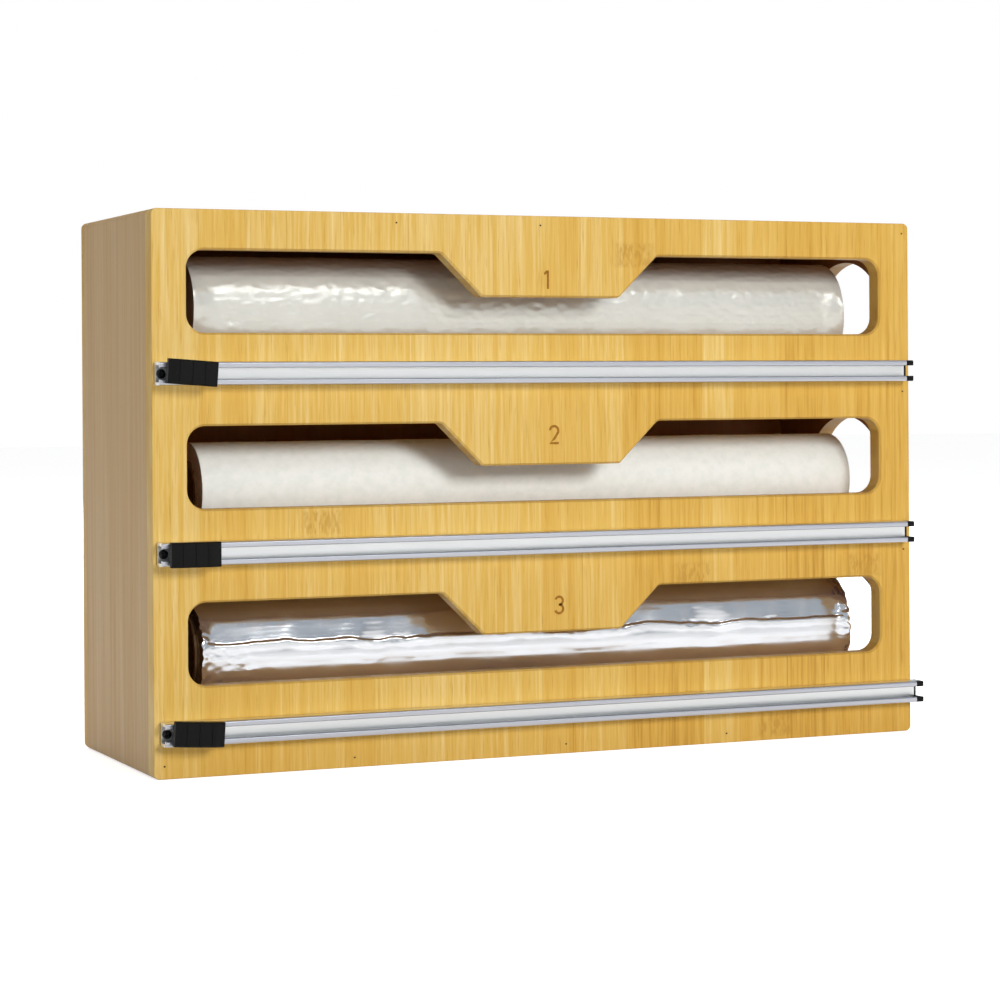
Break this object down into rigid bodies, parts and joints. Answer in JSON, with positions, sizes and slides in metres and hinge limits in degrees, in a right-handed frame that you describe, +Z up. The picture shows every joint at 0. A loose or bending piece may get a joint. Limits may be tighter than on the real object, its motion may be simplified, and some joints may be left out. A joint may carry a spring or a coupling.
{
  "type": "kitchen wrap dispenser",
  "caption": "Bamboo box with a shelf and a front slot for each roll of kitchen wrap, side loading ports, and aluminium rails with sliding cutters under the slots.",
  "frame": {"origin": "centre of the box's base, on the table", "axes": "+X to the right along the rolls, towards the loading ports; +Y to the back; +Z up; the slots and cutters face -Y"},
  "size_m": [0.3506, 0.1212, 0.2265],
  "materials": {
    "bamboo": "planed bamboo boards, clear coated",
    "brad_steel": "flat wire nails",
    "aluminium": "extruded, satin anodised",
    "tape": "double-sided foam tape",
    "screw": "black pan head screws",
    "black_plastic": "moulded, fine satin",
    "blade_steel": "ground",
    "cardboard": "grey-brown wound cardboard",
    "film": "clear cling film, many layers deep",
    "wax_paper": "white wax paper",
    "foil": "bright kitchen foil"
  },
  "bodies": {
    "case": {"front_panel": "bamboo", "back_panel": "bamboo", "left_side_panel": "bamboo", "right_side_panel": "bamboo", "top_panel": "bamboo", "bottom_panel": "bamboo", "shelf_upper": "bamboo", "shelf_middle": "bamboo", "shelf_lower": "bamboo", "panel_brads": "brad_steel", "rail_screws": "screw", "cutter_rail_upper": "aluminium", "cutter_rail_middle": "aluminium", "cutter_rail_lower": "aluminium", "rail_tape_upper": "tape", "rail_tape_middle": "tape", "rail_tape_lower": "tape", "rail_stop_upper": "black_plastic", "rail_stop_middle": "black_plastic", "rail_stop_lower": "black_plastic"},
    "film_roll": {"film_core": "cardboard", "film_winding": "film"},
    "wax_roll": {"wax_core": "cardboard", "wax_winding": "wax_paper"},
    "foil_roll": {"foil_core": "cardboard", "foil_winding": "foil"},
    "upper_slider": {"slider_shoe_upper": "black_plastic", "slider_cap_upper": "black_plastic", "cutter_blade_upper": "blade_steel"},
    "middle_slider": {"slider_shoe_middle": "black_plastic", "slider_cap_middle": "black_plastic", "cutter_blade_middle": "blade_steel"},
    "lower_slider": {"slider_shoe_lower": "black_plastic", "slider_cap_lower": "black_plastic", "cutter_blade_lower": "blade_steel"}
  },
  "joints": [
    {"name": "film_roll_turn", "type": "hinge", "parent": "case", "child": "film_roll", "pos_m": [0, -0.01035, 0.1861], "axis": [1, 0, 0], "continuous": true},
    {"name": "upper_cutter_slide", "type": "slide", "parent": "case", "child": "upper_slider", "axis": [1, 0, 0], "range_m": [-0.00372, 0.32712]},
    {"name": "wax_roll_turn", "type": "hinge", "parent": "case", "child": "wax_roll", "pos_m": [0, -0.01035, 0.1122], "axis": [1, 0, 0], "continuous": true},
    {"name": "middle_cutter_slide", "type": "slide", "parent": "case", "child": "middle_slider", "axis": [1, 0, 0], "range_m": [-0.0042, 0.3264]},
    {"name": "foil_roll_turn", "type": "hinge", "parent": "case", "child": "foil_roll", "pos_m": [0, -0.01035, 0.0453], "axis": [1, 0, 0], "continuous": true},
    {"name": "lower_cutter_slide", "type": "slide", "parent": "case", "child": "lower_slider", "axis": [1, 0, 0], "range_m": [-0.00405, 0.32945]}
  ]
}
